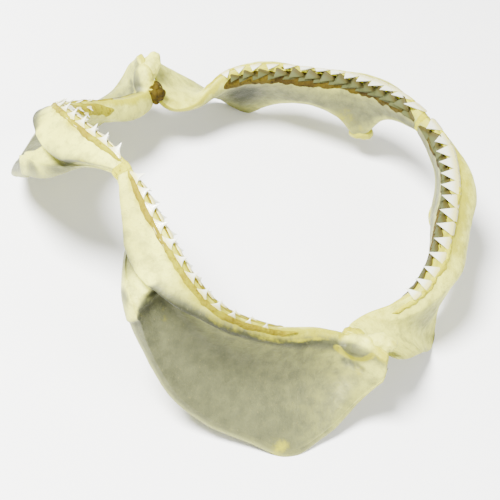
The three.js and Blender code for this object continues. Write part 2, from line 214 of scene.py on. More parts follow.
def directions(jaw, t):
    """At every t: crest, back along it, down to the keel, out to the lips, the depth, the sizes."""
    crest, keel, sizes = station_rows(jaw, t)
    back = unit(station_rows(jaw, t + STEP)[0] - station_rows(jaw, t - STEP)[0])
    depth = np.linalg.norm(keel - crest, axis=1)
    down = (keel - crest) / depth[:, None]
    out = unit(np.cross(down, back))
    return crest, back, down, out, depth, sizes


for jaw in JAWS:
    crest = placed(jaw, station_rows(jaw, np.linspace(0, 1, 400))[0])
    length = np.linalg.norm(np.diff(crest, axis=0), axis=1).sum()
    print(jaw, "crest length", round(float(length), 3), "m")

# %% [markdown]
# ## The cross-sections
#
# On the lip side a lower cartilage has a rounded bar under the teeth, then the wide hollow where
# the jaw muscle was fixed, then a rolled edge that bounds it. An upper one swells out below the
# teeth and thins to its back edge. Both are drawn as a short closed chain of points, (down, out) from
# the crest, and a smooth loop is run through it. Two points that lie close together make a crease
# there. The shares in a chain say how far along the bar, the hollow or the drop each point lies.

# %% Draw the two cross-sections
def ramp(value, low, high):
    share = np.clip((value - low) / (high - low), 0, 1)
    return share * share * (3 - 2 * share)


def fullness(t, share):
    """How full the lower face is, share of the way from the bar to the rim: 1 ahead of the ridge."""
    ridge = RIDGE["top"] + (RIDGE["bottom"] - RIDGE["top"]) * share
    ahead = 1 - ramp(t, ridge - 0.5 * RIDGE["step"], ridge + 0.5 * RIDGE["step"])
    return ahead * ramp(t, *RIDGE["fade"])


def lower_section(s, depth, t):
    bar = np.minimum(s["bar"], 0.8 * depth)
    rest = depth - bar
    reach = s["reach"] * rest
    crease = np.minimum(0.008, 0.06 * depth)
    face = lambda share, hollow, full: hollow + (full - hollow) * fullness(t, share)
    rim = face(1, s["rim"], RIDGE["rim"])
    return [
        (0 * bar, 0 * bar),
        (0.25 * bar, 0.3 * s["bulge"]),
        (0.6 * bar, 0.72 * s["bulge"]),
        (0.92 * bar, s["bulge"]),
        (bar + 0.1 * reach, 0.6 * s["bulge"] + 0.4 * face(0.1, s["fossa"], RIDGE["furrow"])),
        (bar + 0.38 * reach, face(0.38, s["fossa"], RIDGE["furrow"])),
        (bar + 0.75 * reach, face(0.75, 0.5 * (s["fossa"] + s["rim"]), 0.8 * RIDGE["rim"])),
        (bar + reach - crease, rim - 0.3 * crease),
        (bar + reach, rim),
        (depth, rim - 0.5 * s["edge"]),
        (depth - 0.03, rim - s["edge"] - 0.004),
        (bar + 0.5 * rest, s["fossa"] - s["wall"]),
        (bar + 0.15 * rest, -0.5 * (s["lip"] + s["wall"])),
        (0.55 * bar, -s["lip"]),
        (0.2 * bar, -0.85 * s["lip"]),
        (0 * bar - 0.002, -0.35 * s["lip"]),
    ]


def upper_section(s, depth, t):
    drop = np.minimum(s["drop"], 0.62 * depth)
    rest = depth - drop
    return [
        (0 * drop, 0 * drop),
        (0.25 * drop, 0.38 * s["bulge"]),
        (0.65 * drop, 0.86 * s["bulge"]),
        (drop, s["bulge"]),
        (drop + 0.25 * rest, 0.72 * s["bulge"] + 0.28 * s["hollow"]),
        (drop + 0.6 * rest, s["hollow"]),
        (depth - 0.012, 0.3 * s["hollow"]),
        (depth, -0.45 * s["edge"]),
        (depth - 0.015, -s["edge"]),
        (drop + 0.5 * rest, -s["wall"]),
        (drop + 0.1 * rest, -0.5 * (s["wall"] + s["lip"])),
        (0.6 * drop, -s["lip"]),
        (0.26 * drop, -0.66 * s["lip"]),
        (0.03 * drop, -0.24 * s["lip"]),
    ]


SECTIONS = {"upper": upper_section, "lower": lower_section}
print("the lower face is full ahead of t =", RIDGE["top"], "above and", RIDGE["bottom"], "below")

# %% [markdown]
# ## From chains to rings
#
# A chain of fifteen points is easy to think about but too coarse to look at. A subdivision modifier
# would round it, and shrink it too. The cubic from above runs through the points themselves, so the
# rings keep the sizes that the stations name.

# %% Run smooth rings through the chains
FACETS_PER_POINT = 9


def smooth_loops(points, per_point):
    """Runs a closed smooth line through each row of points: (rows, points, 2) in, finer out."""
    near = [np.roll(points, shift, axis=1) for shift in (1, 0, -1, -2)]
    steps = [cubic(*near, step / per_point) for step in range(per_point)]
    return np.stack(steps, axis=2).reshape(len(points), -1, 2)


def loops_at(jaw, t):
    """The skin's rings at every t, in the frame, on the left side."""
    crest, back, down, out, depth, sizes = directions(jaw, t)
    chain = np.stack([np.stack(point, axis=-1) for point in SECTIONS[jaw](sizes, depth, t)], axis=1)
    loop = smooth_loops(chain, FACETS_PER_POINT)
    points = crest[:, None] + loop[..., :1] * down[:, None] + loop[..., 1:] * out[:, None]
    seam = crest[0, 0]  # nothing reaches past the flat end at the middle of the jaw
    points[..., 0] = np.maximum(points[..., 0], seam)
    return placed(jaw, points)


print("points on one ring", {jaw: loops_at(jaw, np.array([0.5])).shape[1] for jaw in JAWS})

# %% [markdown]
# ## Unevenness
#
# Dried cartilage is never smooth: it shrinks over its own fibres, and it is dented where the knife
# went. Blender's noise texture could move the points through a modifier, but the same noise is
# wanted for shapes and for masks, so a small lattice noise is written here. It gives the same
# numbers on every run, because its table of random values is seeded.

# %% Make a lattice noise
NOISE_TABLE = np.random.default_rng(7).uniform(-1, 1, 4096)
HASH_PRIMES = (73856093, 19349663, 83492791)
SEED_SHIFT = 17.3


def uneven(points, size, seed=0):
    """Smooth values from -1 to 1 that change over about size metres."""
    cell = points / size + SEED_SHIFT * seed
    whole = np.floor(cell).astype(np.int64)
    part = cell - whole
    part = part * part * (3 - 2 * part)
    total = 0
    for corner in itertools.product((0, 1), repeat=3):
        at = whole + np.array(corner)
        mixed = at[..., 0] * HASH_PRIMES[0] ^ at[..., 1] * HASH_PRIMES[1] ^ at[..., 2] * HASH_PRIMES[2]
        key = mixed % len(NOISE_TABLE)
        weight = np.prod(np.where(np.array(corner) == 1, part, 1 - part), axis=-1)
        total = total + weight * NOISE_TABLE[key]
    return total


print("the noise at the origin is", round(float(uneven(np.zeros((1, 3)), 0.01)[0]), 3))

# %% [markdown]
# ## Meshes from rings
#
# Cartilage, teeth, gum and flesh are all closed skins over a row of rings, so one set of helpers
# makes every mesh. Blender's own primitives would need as much reshaping as a mesh from points. A
# helper also turns the faces out, tells the frame which body the piece rides on, gives it its
# material, and keeps named numbers at the points for the finishes to read.

# %% Make the helpers for meshes
def ring_normals(rings):
    """Outward normals of a grid of rings."""
    around = np.roll(rings, -1, axis=1) - np.roll(rings, 1, axis=1)
    along = np.gradient(rings, axis=0)
    normals = unit(np.cross(around, along))
    from_middle = rings - rings.mean(axis=1, keepdims=True)
    sign = 1 if (normals * from_middle).sum() > 0 else -1
    return sign * normals


def ring_faces(count, size, first=0):
    """Quads between count rings of size points each, and the fan over each end."""
    i, j = np.meshgrid(np.arange(count - 1), np.arange(size), indexing="ij")
    a, b = i * size + j, i * size + (j + 1) % size
    quads = np.stack([a, b, b + size, a + size], axis=-1).reshape(-1, 4) + first
    ends = [list(range(size))[::-1], list(range((count - 1) * size, count * size))]
    return quads.tolist() + [[first + k for k in end] for end in ends]


def mesh_object(name, points, faces, finish):
    """A smooth-shaded object from points and faces, with its faces turned out, riding on the part."""
    mesh = bpy.data.meshes.new(name)
    mesh.from_pydata([tuple(p) for p in points], [], faces)
    mesh.validate()
    made = bpy.data.objects.new(name, mesh)
    bpy.context.scene.collection.objects.link(made)
    mesh.polygons.foreach_set("use_smooth", [True] * len(mesh.polygons))
    mesh.materials.append(finish)
    turn_faces_out(mesh)
    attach(made, BODY)
    return made


def turn_faces_out(mesh):
    """Flips a closed mesh whose volume comes out negative."""
    mesh.calc_loop_triangles()
    corners = np.array([tri.vertices[:] for tri in mesh.loop_triangles])
    places = np.array([v.co[:] for v in mesh.vertices])
    a, b, c = (places[corners[:, k]] for k in range(3))
    if np.einsum("ij,ij->", a, np.cross(b, c)) < 0:
        mesh.flip_normals()


def keep_values(made, **values):
    """Stores one number per point under a name, for the materials to read."""
    for name, numbers in values.items():
        layer = made.data.attributes.new(name, "FLOAT", "POINT")
        layer.data.foreach_set("value", np.asarray(numbers, np.float32).ravel())


print("two rings of four points make", len(ring_faces(2, 4)), "faces")

# %% [markdown]
# ## Materials: a few helpers
#
# Every finish here is made of nodes, so it has no picture that could run out of pixels. A finish
# mixes a handful of colours by noise and by the numbers that the shapes keep at their points, such
# as how deep in the muscle hollow a point lies. A short class keeps each finish readable.

# %% Make a small node builder
SCATTER = (1.0, 0.9, 0.5)


class Finish:
    """A material under construction: each call adds a node and returns the output to go on with."""

    def __init__(self, name):
        self.material = bpy.data.materials.new(name)
        self.material.use_nodes = True
        self.tree = self.material.node_tree
        self.shader = self.tree.nodes["Principled BSDF"]
        self.place = self.add("ShaderNodeTexCoord").outputs["Object"]

    def add(self, kind, **inputs):
        node = self.tree.nodes.new(kind)
        for name, value in inputs.items():
            self.feed(node.inputs[name.replace("_", " ")], value)
        return node

    def feed(self, socket, value):
        if isinstance(value, bpy.types.NodeSocket):
            self.tree.links.new(value, socket)
        else:
            socket.default_value = value

    def kept(self, name):
        node = self.add("ShaderNodeAttribute")
        node.attribute_name = name
        return node.outputs["Fac"]

    def noise(self, size, detail=3.0, roughness=0.55, stretch=None):
        place = self.place
        if stretch:
            node = self.add("ShaderNodeMapping", Vector=place)
            node.inputs["Scale"].default_value = stretch
            place = node.outputs["Vector"]
        node = self.add("ShaderNodeTexNoise", Vector=place)
        node.inputs["Scale"].default_value = 1 / size
        node.inputs["Detail"].default_value = detail
        node.inputs["Roughness"].default_value = roughness
        return node.outputs["Fac"]

    def cells(self, size):
        node = self.add("ShaderNodeTexVoronoi", Vector=self.place)
        node.inputs["Scale"].default_value = 1 / size
        return node.outputs["Distance"]

    def spread(self, value, low, high, to_low=0.0, to_high=1.0):
        """Maps low..high smoothly to to_low..to_high."""
        node = self.add("ShaderNodeMapRange", Value=value)
        node.interpolation_type = "SMOOTHSTEP"
        limits = {"From Min": low, "From Max": high, "To Min": to_low, "To Max": to_high}
        for name, number in limits.items():
            node.inputs[name].default_value = number
        return node.outputs["Result"]

    def math(self, operation, a, b):
        node = self.add("ShaderNodeMath")
        node.operation = operation
        self.feed(node.inputs[0], a)
        self.feed(node.inputs[1], b)
        return node.outputs["Value"]

    def mix(self, share, a, b):
        node = self.add("ShaderNodeMix")
        node.data_type = "RGBA"
        self.feed(node.inputs["Factor"], share)
        self.feed(node.inputs[6], a)
        self.feed(node.inputs[7], b)
        return node.outputs[2]

    def bump(self, height, deep, under=None):
        node = self.add("ShaderNodeBump", Height=height)
        node.inputs["Strength"].default_value = 1.0
        node.inputs["Distance"].default_value = deep
        if under is not None:
            self.feed(node.inputs["Normal"], under)
        return node.outputs["Normal"]

    def close(self, colour, roughness, normal, **fixed):
        self.feed(self.shader.inputs["Base Color"], colour)
        self.feed(self.shader.inputs["Roughness"], roughness)
        self.feed(self.shader.inputs["Normal"], normal)
        self.shader.inputs["Subsurface Radius"].default_value = SCATTER
        for name, value in fixed.items():
            self.shader.inputs[name.replace("_", " ")].default_value = value
        return self.material


def linear(value):
    """One 0..255 screen value as the linear light that it stands for."""
    share = value / 255
    return share / 12.92 if value <= 10 else ((share + 0.055) / 1.055) ** 2.4


def colour(red, green, blue):
    """A colour as 0..255 screen values, turned into the linear ones that the shader wants."""
    return (linear(red), linear(green), linear(blue), 1.0)


print("cream in linear light", [round(v, 3) for v in colour(214, 216, 92)])

# %% [markdown]
# ## Dried cartilage
#
# The skin of the cartilage is a mosaic of tiny hard tiles over a softer core. It dries cream on the
# rounded parts and grey-green in the hollows, where it stays thin, with yellow stains near the gum and
# where fat has come through. The hollows and the undersides also get painted shade, deepest under the
# bar. Painting this by hand would fit one side only.
# Here the hollows, the edge and the distance from the teeth come with the shape, and noise breaks up
# their borders. A yellow that has to stay yellow in strong light is given almost no blue.

# %% Mix the cartilage finish
CREAM, DULL_CREAM, CLOUD = colour(214, 216, 92), colour(194, 194, 78), colour(150, 150, 70)
# Grey-green of thin cartilage mixed with painted shade, and the darkest painted shade under the bar.
HOLLOW_GREEN_AND_SHADE, DEEP_SHADE = colour(78, 80, 55), colour(28, 30, 8)
EDGE_GREY = colour(150, 152, 92)
STAIN_YELLOW = colour(160, 156, 0)
BROWN_SPECK = colour(112, 108, 60)
TILE = 0.0016


def cartilage_finish():
    f = Finish("dried_cartilage")
    wide, fine, speck = f.noise(0.05, 4), f.noise(0.009, 5, 0.65), f.noise(0.0022, 3, 0.7)
    tone = f.mix(f.spread(wide, 0.35, 0.65), CREAM, DULL_CREAM)
    tone = f.mix(f.spread(fine, 0.42, 0.72, 0, 0.75), tone, CLOUD)
    # The hollow number brings in grey-green and painted shade: in the hollows, under the bar, on undersides.
    shade = f.math("ADD", f.kept("hollow"), f.math("MULTIPLY", f.math("SUBTRACT", fine, 0.5), 0.3))
    tone = f.mix(f.spread(shade, 0.15, 0.95, 0, 0.95), tone, HOLLOW_GREEN_AND_SHADE)
    tone = f.mix(f.spread(shade, 0.8, 1.25, 0, 0.88), tone, DEEP_SHADE)
    rim = f.math("ADD", f.kept("rim"), f.math("MULTIPLY", f.math("SUBTRACT", fine, 0.5), 0.8))
    tone = f.mix(f.spread(rim, 0.45, 1.0, 0, 0.7), tone, EDGE_GREY)
    blot = f.math("MULTIPLY", f.math("SUBTRACT", wide, 0.5), 0.9)
    blot = f.math("ADD", blot, f.math("SUBTRACT", fine, 0.5))
    stain = f.math("ADD", f.kept("stain"), blot)
    tone = f.mix(f.spread(stain, 0.35, 0.85, 0, 0.9), tone, STAIN_YELLOW)
    tone = f.mix(f.spread(speck, 0.6, 0.72, 0, 0.55), tone, BROWN_SPECK)
    rough = f.spread(fine, 0.3, 0.7, 0.46, 0.66)
    normal = f.bump(f.cells(TILE), 0.00012)
    normal = f.bump(fine, 0.0009, normal)
    normal = f.bump(speck, 0.0003, normal)
    return f.close(
        tone, rough, normal,
        Subsurface_Weight=0.08, Subsurface_Scale=0.004, Specular_IOR_Level=0.28,
    )


CARTILAGE = cartilage_finish()
print("finish", CARTILAGE.name, "has", len(CARTILAGE.node_tree.nodes), "nodes")

# %% [markdown]
# ## Enamel, spare teeth, gum and tissue
#
# Shark teeth are enamelled and white, and yellow towards the root. The upper spare ones are a dull
# grey-green, darkened further with painted shade, as they hang in the shadow of the crest. The gum
# itself dries matt and mustard yellow, gristle stays paler, and the flesh left in the grooves and the
# joints turns brown. They are five finishes rather than one, because each takes the light in its own
# way. Two functions make them all.

# %% Mix the finishes of teeth and tissue
def enamel_finish(name, crown, root, dullness, gloss):
    f = Finish(name)
    cloud, fine = f.noise(0.006, 3), f.noise(0.0012, 2, 0.6)
    tone = f.mix(f.spread(f.kept("rise"), 0.02, 0.45), root, crown)
    tone = f.mix(f.spread(cloud, 0.5, 0.85, 0, 0.35), tone, root)
    normal = f.bump(fine, 0.0001)
    return f.close(
        tone, f.spread(cloud, 0.3, 0.7, dullness, dullness + 0.15), normal,
        Subsurface_Weight=gloss, Subsurface_Scale=0.001,
        Coat_Weight=gloss, Specular_IOR_Level=0.2 + 2 * gloss,
    )


def tissue_finish(name, light, middle, dark, dullness):
    f = Finish(name)
    wide, fine = f.noise(0.02, 4), f.noise(0.004, 4, 0.65)
    strands = f.noise(0.0016, 3, 0.7, stretch=(1, 1, 3))
    tone = f.mix(f.spread(wide, 0.35, 0.6), light, middle)
    tone = f.mix(f.spread(fine, 0.5, 0.75), tone, dark)
    tone = f.mix(f.spread(strands, 0.6, 0.8, 0, 0.5), tone, light)
    normal = f.bump(strands, 0.0005)
    normal = f.bump(fine, 0.0012, normal)
    return f.close(
        tone, f.spread(fine, 0.3, 0.7, dullness, dullness + 0.2), normal,
        Subsurface_Weight=0.02, Subsurface_Scale=0.001, Specular_IOR_Level=0.12,
    )


WHITES = colour(222, 224, 200), colour(204, 198, 120)
# The upper spare teeth's grey-green, darkened with painted shade.
GREY_GREENS_WITH_SHADE = colour(66, 70, 36), colour(56, 50, 6)
MUSTARDS = colour(144, 139, 0), colour(122, 110, 0), colour(92, 75, 0)
OCHRES = colour(184, 182, 30), colour(158, 152, 10), colour(112, 104, 0)
BROWNS = colour(74, 62, 2), colour(50, 38, 0), colour(26, 19, 0)
ENAMEL = enamel_finish("enamel", *WHITES, dullness=0.22, gloss=0.1)
# Spare enamel: grey-green with painted shade.
SHADED_SPARE_ENAMEL = enamel_finish("spare_enamel_painted_shade", *GREY_GREENS_WITH_SHADE, dullness=0.55, gloss=0.0)
GUM = tissue_finish("dried_gum", *MUSTARDS, dullness=0.55)
GRISTLE = tissue_finish("gristle", *OCHRES, dullness=0.5)
FLESH = tissue_finish("dried_flesh", *BROWNS, dullness=0.65)
print("finishes", [m.name for m in (ENAMEL, SHADED_SPARE_ENAMEL, GUM, GRISTLE, FLESH)])

# %% [markdown]
# ## The four cartilages
#
# Each is a skin over more than two hundred rings. Its two ends are drawn in, as cartilage ends are
# round, and it is roughened a little everywhere. The lower one rises into a knob over the joint,
# with a ring round it and a crease behind, and makes way for the ball, so that it forms the socket.
# The upper one makes way for the blunt process over the palate, and both do for the joint's
# capsule. Sculpting would give these forms too, but not twice alike. Radii and lifts are written
# in millimetres, and places in joint spans, as in the stations.

# %% Shape the skins
BALL = {"at": [0.5, 0.004, 0.0], "radii": [8.4, 8.4, 8.4], "along": [1.0, 0.0, 0.0]}
KNOB = {"ends": [(0.876, 2.2), (0.892, 2.0)], "radius": 11.0, "rise": 4.4}
KNOB_RING = {"at": 1.16, "wide": 0.24, "deep": 1.2}
CREASE = {"ends": [(0.84, 4.2), (0.91, 4.85)], "radius": 2.6, "rise": -1.2}
CAPSULE = {"at": [0.561, 0.0395, -0.03], "radii": [6.8, 6.8, 13], "along": [0.046, 0.0505, -0.018]}
PROCESS = {"at": [0.187, 0.543, 0.257], "radii": [6.2, 6.2, 10.8], "along": [-0.103, 0.104, -0.018]}
END_ROUNDING, END_SHARE = 0.01, 0.82
ROUGHNESS = 0.7
ROUGH_LAYERS = [(0.9, 0.03, 1), (0.45, 0.011, 2), (0.16, 0.004, 3)]  # strength, size in metres, seed
SOCKET_CLEARANCE, PROCESS_OVERLAP, CAPSULE_OVERLAP = 0.5, 0.6, 0.4
RINGS = 230
along = np.linspace(0, 1, RINGS)


def bell(value, middle, width):
    return np.exp(-(((value - middle) / width) ** 2))


def drawn_in(rings, t, length, least):
    """Draws the rings together towards both ends, along a quarter circle of the given length."""
    from_end = np.clip(np.minimum(t, 1 - t) / length, 0, 1)
    share = least + (1 - least) * np.sqrt(1 - (1 - from_end) ** 2)
    middle = rings.mean(axis=1, keepdims=True)
    return middle + (rings - middle) * share[:, None, None]


def arc_from_crest(rings):
    """Distance along each ring from the crest: positive towards the lips, else negative."""
    gaps = np.linalg.norm(np.roll(rings, -1, axis=1) - rings, axis=2)
    forth = np.concatenate([np.zeros((len(rings), 1)), np.cumsum(gaps, axis=1)[:, :-1]], axis=1)
    whole = gaps.sum(axis=1, keepdims=True)
    return np.where(forth < whole / 2, forth, forth - whole)


def egg_axes(kind):
    """Middle of a ball or capsule, and its three own directions, the last one the long way."""
    way = unit(turned("upper", np.array(kind["along"])))
    across = unit(np.cross(way, [0.0, 0.0, 1.0]))
    return placed("upper", np.array(kind["at"])), np.stack([across, np.cross(way, across), way])


def pushed_out(points, kind, extra):
    """Moves every point that lies inside a ball or capsule, grown by extra, out to its face."""
    middle, axes = egg_axes(kind)
    radii = (np.array(kind["radii"]) + extra) * MM
    away = (points - middle) @ axes.T / radii
    distance = np.maximum(np.linalg.norm(away, axis=-1, keepdims=True), 1e-6)
    return np.where(distance < 1, middle + (away / distance * radii) @ axes, points)


def skin_point(rings, t, place):
    """The skin's point nearest to t along the cartilage and to a place in the section's chain."""
    return rings[round(t * (RINGS - 1)), round(place * FACETS_PER_POINT)]


def stroke_distance(rings, stroke):
    """Distance of every point from a line between two places on the skin, in the line's radii."""
    middles = [skin_point(rings, t, place) for t, place in np.linspace(*np.array(stroke["ends"]), 9)]
    nearest = np.min([np.linalg.norm(rings - m, axis=-1) for m in middles], axis=0)
    return nearest / (stroke["radius"] * MM)


def shape_skin(jaw):
    rings = drawn_in(loops_at(jaw, along), along, END_ROUNDING, END_SHARE)
    normals = ring_normals(rings)
    rough = sum(deep * uneven(rings, size, seed) for deep, size, seed in ROUGH_LAYERS)
    rings = rings + normals * (rough * ROUGHNESS * MM)[..., None]
    if jaw == "lower":
        away = stroke_distance(rings, KNOB)
        lift = KNOB["rise"] * np.maximum(0, 1 - away**2) ** 1.2
        lift -= KNOB_RING["deep"] * bell(away, KNOB_RING["at"], KNOB_RING["wide"])
        lift += CREASE["rise"] * bell(stroke_distance(rings, CREASE), 0, 0.7)
        rings = pushed_out(rings + normals * (lift * MM)[..., None], BALL, SOCKET_CLEARANCE)
    else:
        rings = pushed_out(rings, PROCESS, -PROCESS_OVERLAP)
    return pushed_out(rings, CAPSULE, -CAPSULE_OVERLAP)


SKIN = {jaw: shape_skin(jaw) for jaw in JAWS}
ARC = {jaw: arc_from_crest(SKIN[jaw]) for jaw in JAWS}
NORMAL = {jaw: ring_normals(SKIN[jaw]) for jaw in JAWS}
print("skins", {jaw: SKIN[jaw].shape for jaw in JAWS})

# %% [markdown]
# ## Fitting the skins into the box
#
# The solids are the measure of the part, so the skin may not stand out of their box. Rather than
# scale it, each point that would stand out is pressed back to the wall, as if the jaws had been
# rubbed there. Only a few do: the noise is about a millimetre.

# %% Keep inside the box
box_low, box_high = (np.array(corner) for corner in cad_box)
BOX_MARGIN = 0.05 * MM


def inside_box(points):
    return np.clip(points, box_low + BOX_MARGIN, box_high - BOX_MARGIN)


def mirrored(points, side):
    return points * np.array([side, 1, 1])


print("the skins reach up to", round(float(max(SKIN[jaw][..., 2].max() for jaw in JAWS)), 4), "m")

# %% [markdown]
# ## Where the skins get grey-green and painted shade
#
# A finish can't know where a hollow is, so each skin keeps numbers at its points: how hollow it is
# there, which sets its grey-green and its painted shade, how near the rolled edge, and how stained.
# They could be painted as weights by hand, but written as curves they follow the shape. A place on a
# ring is counted in points of the section's chain, from 0 at the crest out to the lips and round to
# the tongue side, and t runs from 0 at the seam to 1 behind. The painted shade is deepest under the
# bar, behind the ridge it climbs up the bar, and a few patches add painted shade on undersides.

# %% Work out the shade of the hollows
# A curve is a list of places on the ring, or of t, and the value at each of them.
# SHADE is the grey-green of thin cartilage together with painted shade in hollows and on the tongue side.
SHADE = {
    "lower": (
        [1, 1.8, 2.4, 2.9, 3.6, 4.4, 5.2, 6.2, 7.4, 8.5, 10, 12, 14.5, 16],
        [0, 0.25, 0.45, 0.8, 1.2, 1.25, 0.84, 0.95, 1.02, 0.9, 0.6, 0.6, 0.3, 0],
    ),
    "upper": (
        [0, 3, 4.5, 6.5, 8, 9, 10, 11, 12.5, 14],
        [0, 0.1, 0.35, 0.45, 0.6, 0.85, 0.85, 0.7, 0.4, 0],
    ),
}
SHADE_ALONG = (
    [0, 0.12, 0.25, 0.31, 0.42, 0.6, 0.75, 0.88, 1],
    [0.3, 0.6, 1.1, 1.15, 0.98, 0.95, 0.9, 0.72, 0.5],
)
# SHADE_RAISED lifts the painted shadow under the bar up towards the crest, behind the ridge.
SHADE_RAISED = ([0.28, 0.36, 0.42, 0.52, 0.8, 0.92, 1], [0, 0.7, 1.2, 1.6, 1.5, 0.6, 0])
SHADED_FACE = 9
RIDGE_LIGHTER = 0.7
# A patch is (strength, place, width, t, length): a bell round the ring times one along it.
# Patches of painted shade: the lower flange's tip, the upper jaw's tongue side and lower outer face.
PAINTED_SHADE_PATCHES = {
    "lower": [(0.95, 8.6, 0.9, 0.29, 0.035)],
    "upper": [(1.25, 9.6, 1.5, 0.64, 0.14), (0.7, 3.9, 1.8, 0.67, 0.1)],
}


def patch(place, t, strength, at, width, t_at, length):
    return strength * bell(place, at, width) * bell(t, t_at, length)


def darkness(jaw, place, t):
    """Grey-green and painted shade: a curve round the ring, shifted and lightened on the lower jaw."""
    if jaw == "upper":
        hollow = np.interp(place, *SHADE[jaw]) + 0 * t
    else:
        raised = np.interp(t, *SHADE_RAISED) * np.clip((8 - place) / 3, 0, 1)
        hollow = np.interp(place + raised, *SHADE[jaw])
        lighter = 1 - RIDGE_LIGHTER * fullness(t, np.clip((place - 4) / 4, 0, 1))
        on_face = hollow * np.interp(t, *SHADE_ALONG) * lighter
        hollow = np.where(place < SHADED_FACE, on_face, hollow)
    for shade_patch in PAINTED_SHADE_PATCHES[jaw]:
        hollow = np.maximum(hollow, patch(place, t, *shade_patch))
    return hollow


def ring_places(jaw):
    return np.arange(SKIN[jaw].shape[1]) / FACETS_PER_POINT


for jaw in JAWS:
    shade = darkness(jaw, ring_places(jaw), along[:, None])
    print(jaw, "darkest at t =", round(float(along[shade.max(axis=1).argmax()]), 2))

# %% [markdown]
# ## Where the skins are stained
#
# Gum stains the cartilage next to it: far down the face of the upper jaw, and a little way on the
# lower. Fat that has come through leaves soft yellow spots. Noise alone could scatter them, but a
# short list sets them in given places, and makes the two sides differ. The knob of the joint stays
# clean, inside a stained ring.

# %% Work out the stains
# How far the gum's stain reaches down the face, in millimetres, and how strong it is.
STAINED = {"upper": (32, 1.2), "lower": (9, 0.95)}
TONGUE_REACH = 9
STAIN_WIDENS = ([0.2, 0.35], {"lower": [1, 1.5], "upper": [1, 1]})
STAIN_FADES = {"lower": ([0, 1], [1, 1]), "upper": ([0.45, 0.66], [1, 0.4])}
SPOT_STRENGTH = 0.52
# A spot of fat is (t, place, radius in millimetres).
SPOTS = {
    ("lower", "left"): [(0.725, 7.6, 12), (0.42, 5.4, 16), (0.9, 4.8, 9), (0.77, 0.8, 8)],
    ("lower", "right"): [
        (0.86, 1.0, 9), (0.81, 0.9, 8), (0.3, 14.6, 8), (0.45, 14.0, 7), (0.8, 13.0, 6), (0.12, 3.6, 4),
    ],
    ("upper", "left"): [(0.834, 5.8, 3), (0.68, 2.9, 2.2), (0.93, 6.2, 4), (0.72, 0.8, 8)],
    ("upper", "right"): [
        (0.99, 2.5, 8), (0.3, 8.9, 17), (0.24, 8.6, 5), (0.7, 12.0, 8), (0.86, 11.5, 5), (0.1, 11.5, 6),
    ],
}


def stains(jaw, side_name, t):
    """How stained the skin is: near the gum, and in spots where fat has come through."""
    rings, arc = SKIN[jaw], ARC[jaw]
    face_reach, strength = STAINED[jaw]
    widens_at, widens_to = STAIN_WIDENS
    face_reach = face_reach * np.interp(t, widens_at, widens_to[jaw])
    reach = np.where(arc > 0, face_reach, TONGUE_REACH) * MM
    stain = strength * np.clip(1 - np.abs(arc) / reach, 0, 1) ** 0.8
    stain = np.where(arc > 0, stain * np.interp(t, *STAIN_FADES[jaw]), stain)
    for at, spot_place, radius in SPOTS[jaw, side_name]:
        away = np.linalg.norm(rings - skin_point(rings, at, spot_place), axis=-1) / (radius * MM)
        stain = np.maximum(stain, SPOT_STRENGTH * np.exp(-(away**2)))
    return stain


for jaw, side_name in SPOTS:
    share = (stains(jaw, side_name, along[:, None]) > 0.5).mean()
    print(jaw, side_name, "stained over", round(100 * float(share)), "% of the points")

# %% [markdown]
# ## The four skins as objects
#
# Each skin is made once for the left side and mirrored for the right, as the two halves of a jaw
# are alike. A mirror modifier would do the same, but then both sides would share their stains.

# %% Build the cartilages
CREST_STREAK = (0.72, 1.9, 0.7, 0.72, 0.16)
ROLLED_EDGE = {"lower": (9.0, 0.8), "upper": (7.2, 0.7)}


def skin_values(jaw, side_name):
    """How hollow (grey-green and painted shade), how near the edge and how stained every point is."""
    rings, t, place = SKIN[jaw], along[:, None], ring_places(jaw)
    hollow, stain = darkness(jaw, place, t), stains(jaw, side_name, t)
    rim = bell(place, *ROLLED_EDGE[jaw]) * np.clip(t * 4, 0, 1)
    if jaw == "lower":
        from_knob = stroke_distance(rings, KNOB)
        ring_mark = bell(from_knob, KNOB_RING["at"], 1.1 * KNOB_RING["wide"])
        stain = np.maximum(stain, patch(place, t, *CREST_STREAK))
        below_crest = np.clip((place - 2.0) / 1.2, 0.25, 1)
        stain = np.maximum(stain * (1 - bell(from_knob, 0, 0.8)), 1.1 * ring_mark * below_crest)
        # Painted shade in the crease behind the knob.
        hollow = hollow + 0.3 * bell(stroke_distance(rings, CREASE), 0, 0.9)
    return {"hollow": hollow, "rim": rim, "stain": stain}


for jaw, (side_name, side) in itertools.product(JAWS, SIDES.items()):
    points = mirrored(inside_box(SKIN[jaw]), side).reshape(-1, 3)
    faces = ring_faces(*SKIN[jaw].shape[:2])
    made = mesh_object(f"cartilage_{jaw}_{side_name}", points, faces, CARTILAGE)
    keep_values(made, **skin_values(jaw, side_name))
    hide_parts(f"{jaw}_jaw_{side_name}")
    print("built", made.name, "with", len(points), "points")

# %% [markdown]
# ## Teeth
#
# An upper tooth is a flat triangle whose front edge runs straight to the tip and whose hind edge is
# cut in above a low heel, saw-toothed all the way. A lower tooth is a narrow spike on a wide low
# base. Both can be drawn the same way: for each height, where the front and the hind edge are. The
# blade is flat towards the lips and domed towards the tongue.

# %% Draw one tooth of each kind
LEVELS = 34
AROUND = 12
SAW = 0.014
THINNEST = 0.012
TIP_THICKNESS = 0.12
LIP_DOME, TONGUE_DOME = 0.22, 0.78
DOME_SHARE = 0.75
ROOT_SHRINK = np.array([0.8, 1, 0.4])
TOOTH_SINK = 3.0


def upper_edges(v, lean):
    saw = SAW * np.where(np.arange(len(v)) % 2 == 0, 1, -1) * (v > 0.03) * (v < 0.97)
    front = lean - (0.5 + lean) * (1 - v) ** 1.02 - saw
    hind = lean + (0.5 - lean) * (0.86 * (1 - v) ** 1.05 + 0.14 * (1 - v) ** 6) + saw
    return front, hind


def lower_edges(v, lean):
    base = np.clip(1 - v / 0.5, 0, 1) ** 1.5
    cusp = 0.21 * (1 - v) ** 0.9
    return lean * v - cusp - 0.31 * base, lean * v + cusp + 0.31 * base


EDGES = {"upper": upper_edges, "lower": lower_edges}


